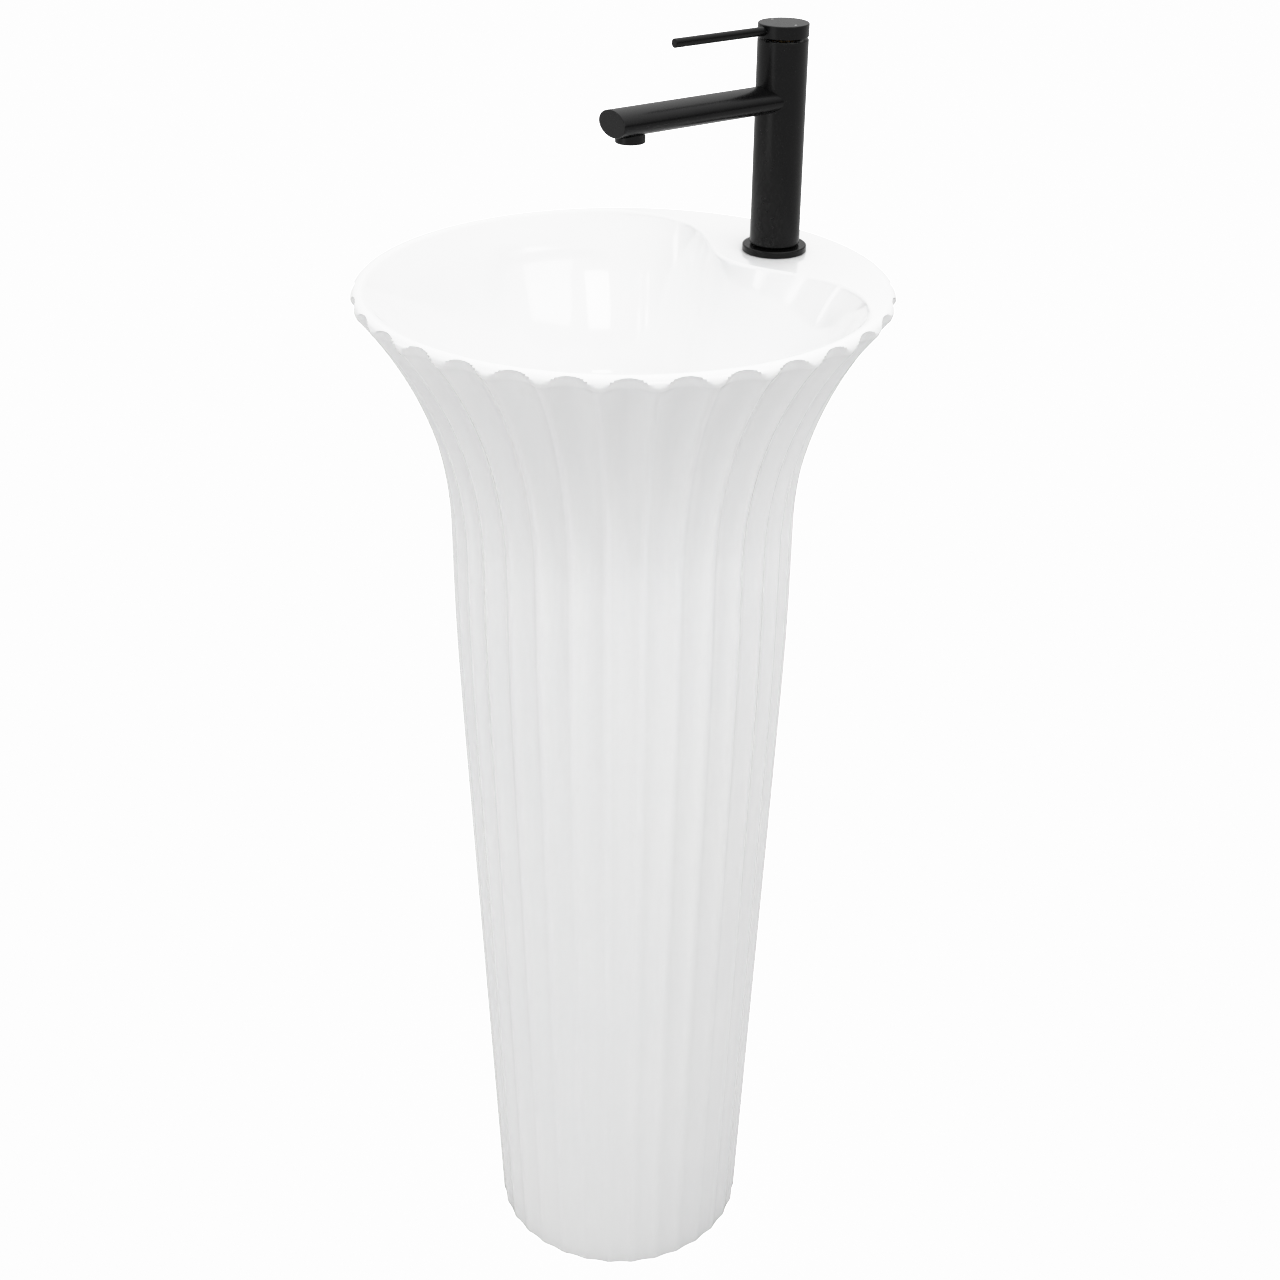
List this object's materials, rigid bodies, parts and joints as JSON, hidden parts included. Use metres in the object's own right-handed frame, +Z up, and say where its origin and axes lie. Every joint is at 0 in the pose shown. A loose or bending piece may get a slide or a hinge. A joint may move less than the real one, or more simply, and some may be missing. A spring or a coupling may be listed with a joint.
{
  "type": "pedestal sink",
  "caption": "Freestanding round pedestal sink: fluted white ceramic column flaring into a shallow bowl with a level tap deck, black single-lever mixer tap, push-open waste and trap inside.",
  "frame": {"origin": "middle of the foot, on the floor", "axes": "+Z up, -Y to the front (the side the spout and lever point to), +X to the right when seen from the front"},
  "size_m": [0.398, 0.398, 1.0502],
  "materials": {
    "ceramic": "white gloss glaze",
    "black_metal": "satin black coating on brass",
    "rubber": "matt moulded rubber",
    "steel": "plain turned steel",
    "brass": "plain turned brass",
    "chrome": "polished chrome plate",
    "white_plastic": "moulded",
    "grey_plastic": "moulded",
    "valve_ceramic": "lapped alumina"
  },
  "bodies": {
    "basin": {"basin_pedestal": "ceramic", "faucet_body": "black_metal", "base_ring": "black_metal", "spout": "black_metal", "aerator_housing": "black_metal", "deck_gasket": "rubber", "rubber_crescent": "rubber", "cartridge_seal": "rubber", "aerator_washer": "rubber", "waste_upper_seal": "rubber", "waste_lower_seal": "rubber", "trap_inlet_washer": "rubber", "trap_body_washer": "rubber", "trap_cup_seal": "rubber", "trap_outlet_washer": "rubber", "mounting_stud": "steel", "horseshoe_washer": "steel", "stud_nut": "steel", "hot_inlet": "brass", "cold_inlet": "brass", "cartridge_nut": "brass", "waste_locknut": "brass", "waste_flange": "chrome", "trap_inlet_nut": "chrome", "trap_inlet_tube": "chrome", "trap_body": "chrome", "trap_body_nut": "chrome", "trap_cup": "chrome", "trap_outlet_nut": "chrome", "outlet_pipe": "chrome", "cartridge_housing": "white_plastic", "plug_guide": "white_plastic", "aerator_insert": "grey_plastic", "fixed_disc": "valve_ceramic"},
    "drain_plug": {"plug_cap": "chrome", "plug_seal": "rubber", "plug_stem": "chrome"},
    "cartridge_rotor": {"cartridge_rotor": "grey_plastic", "pivot_pin": "steel"},
    "handle": {"handle_cap": "black_metal", "lever_rod": "black_metal", "set_screw": "steel", "cartridge_stem": "brass"},
    "moving_disc": {"moving_disc": "valve_ceramic"}
  },
  "joints": [
    {"name": "handle_swivel", "type": "hinge", "parent": "basin", "child": "cartridge_rotor", "pos_m": [0, 0.141, 1.0207], "axis": [0, 0, 1], "range_deg": [-45, 45]},
    {"name": "handle_lift", "type": "hinge", "parent": "cartridge_rotor", "child": "handle", "pos_m": [0, 0.141, 1.0207], "axis": [-1, 0, 0], "range_deg": [0, 20]},
    {"name": "disc_slide", "type": "slide", "parent": "cartridge_rotor", "child": "moving_disc", "axis": [0, -1, 0], "range_m": [0, 0.0038]},
    {"name": "plug_slide", "type": "slide", "parent": "basin", "child": "drain_plug", "axis": [0, 0, 1], "range_m": [0, 0.008]}
  ],
  "couplings": [
    {"joint": "disc_slide", "follows": "handle_lift", "m_per_rad": 0.0106}
  ]
}
